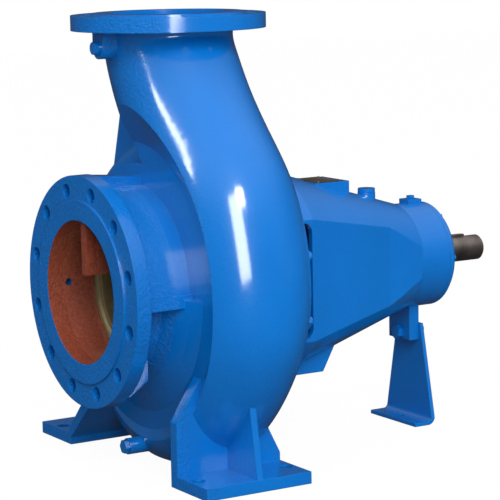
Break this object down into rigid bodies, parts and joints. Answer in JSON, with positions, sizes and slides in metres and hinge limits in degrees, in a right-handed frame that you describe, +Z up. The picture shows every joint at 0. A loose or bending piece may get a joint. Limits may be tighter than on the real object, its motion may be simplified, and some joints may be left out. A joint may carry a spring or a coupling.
{
  "type": "centrifugal pump",
  "caption": "End-suction volute pump with swan-neck discharge, bearing bracket, support foot and bare shaft end; the rotor turns in ball bearings.",
  "frame": {"origin": "on the floor plane, at the centre of the casing feet's bolt pattern", "axes": "+X along the shaft towards the drive end, +Z up along the discharge, so the near foot is at -Y"},
  "size_m": [0.858, 0.6524, 0.79],
  "materials": {
    "blue_casting": "glossy blue enamel on cast iron",
    "blue_sheet": "glossy blue enamel on steel sheet",
    "blue_fastener": "overpainted steel",
    "bronze": "cast and turned bronze",
    "brass": "turned",
    "steel": "ground",
    "grey_iron": "machined",
    "packing": "braided",
    "black_rubber": "matt"
  },
  "bodies": {
    "pump": {"bearing_bracket": "blue_casting", "bearing_cover_screws": "blue_fastener", "casing_cover": "blue_casting", "casing_drain_plug": "blue_fastener", "casing_gasket": "packing", "casing_nuts": "blue_fastener", "casing_studs": "blue_fastener", "casing_wear_ring": "bronze", "discharge_gauge_plug": "blue_fastener", "drive_end_bearing_cover": "blue_casting", "drive_end_bearing_outer_ring": "steel", "gland_follower": "grey_iron", "gland_nuts": "steel", "gland_studs": "steel", "housing_top_plug": "blue_fastener", "lantern_ring": "bronze", "oil_drain_plug": "blue_fastener", "oil_filler_plug": "blue_fastener", "oil_seals": "black_rubber", "packing_rings": "packing", "pump_end_bearing_cover": "blue_casting", "pump_end_bearing_outer_ring": "steel", "suction_gauge_plug": "blue_fastener", "support_foot": "blue_sheet", "support_foot_bolt": "blue_fastener", "support_foot_nut": "blue_fastener", "support_foot_washer": "blue_fastener", "volute_casing": "blue_casting"},
    "rotor": {"pump_shaft": "steel", "impeller": "bronze", "impeller_nut": "steel", "impeller_key": "steel", "shaft_sleeve": "steel", "deflector": "black_rubber", "coupling_key": "steel", "bearing_lock_nut": "steel", "pump_end_bearing_inner_ring": "steel", "drive_end_bearing_inner_ring": "steel"},
    "pump_end_balls": {"pump_end_bearing_balls": "steel", "pump_end_bearing_cage": "brass"},
    "drive_end_balls": {"drive_end_bearing_balls": "steel", "drive_end_bearing_cage": "brass"}
  },
  "joints": [
    {"name": "rotor_spin", "type": "hinge", "parent": "pump", "child": "rotor", "pos_m": [0, 0, 0.315], "axis": [1, 0, 0], "continuous": true},
    {"name": "pump_end_balls_spin", "type": "hinge", "parent": "pump", "child": "pump_end_balls", "pos_m": [0.3625, 0, 0.315], "axis": [1, 0, 0], "continuous": true},
    {"name": "drive_end_balls_spin", "type": "hinge", "parent": "pump", "child": "drive_end_balls", "pos_m": [0.5325, 0, 0.315], "axis": [1, 0, 0], "continuous": true}
  ],
  "couplings": [
    {"joint": "pump_end_balls_spin", "follows": "rotor_spin", "ratio": 0.39},
    {"joint": "drive_end_balls_spin", "follows": "rotor_spin", "ratio": 0.39}
  ]
}
